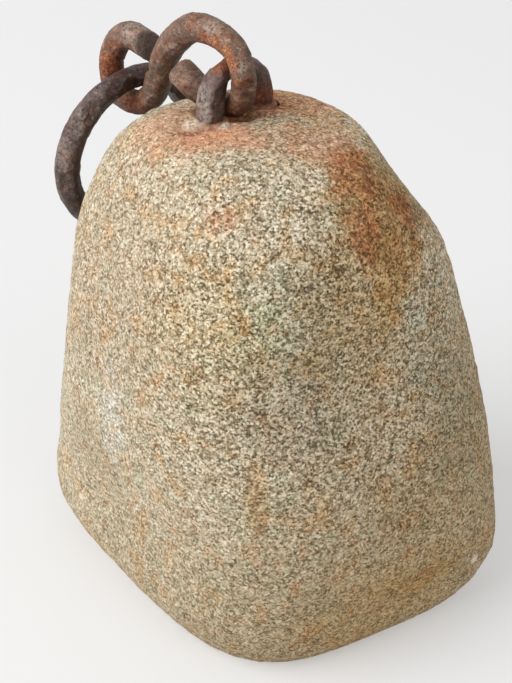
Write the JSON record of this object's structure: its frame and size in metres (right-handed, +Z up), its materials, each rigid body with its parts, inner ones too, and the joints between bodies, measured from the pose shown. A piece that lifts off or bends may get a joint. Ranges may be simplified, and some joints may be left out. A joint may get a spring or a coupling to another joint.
{
  "type": "boulder weight",
  "caption": "Tall granite boulder weight with a forged iron staple leaded into its crown, an S-hook through the staple and a large pull ring hanging from the hook",
  "frame": {"origin": "middle of the stone's flat resting face", "axes": "+Z up through the crown; -Y is the front, the side the camera looks from; +X is to the camera's right"},
  "size_m": [0.2743, 0.2491, 0.3516],
  "materials": {
    "granite": "rough weathered granite, matt",
    "staple_iron": "forged, brown, rusted at the feet",
    "lead": "dull grey lead, whitened",
    "hook_iron": "forged, brown with orange rust",
    "ring_iron": "forged, dark brown, worn smooth"
  },
  "bodies": {
    "boulder": {"stone": "granite", "staple": "staple_iron", "lead_front": "lead", "lead_back": "lead"},
    "hook": {"s_hook": "hook_iron"},
    "pull_ring": {"ring": "ring_iron"}
  },
  "joints": [
    {"name": "hook_swing", "type": "hinge", "parent": "boulder", "child": "hook", "pos_m": [-0.0209, -0.006, 0.3224], "axis": [0.6893, 0.5792, 0.4352], "range_deg": [0, 90]},
    {"name": "ring_swing", "type": "hinge", "parent": "hook", "child": "pull_ring", "pos_m": [-0.0771, 0.05065, 0.29263], "axis": [0.7219, 0.6919, 0], "range_deg": [0, 180]}
  ]
}
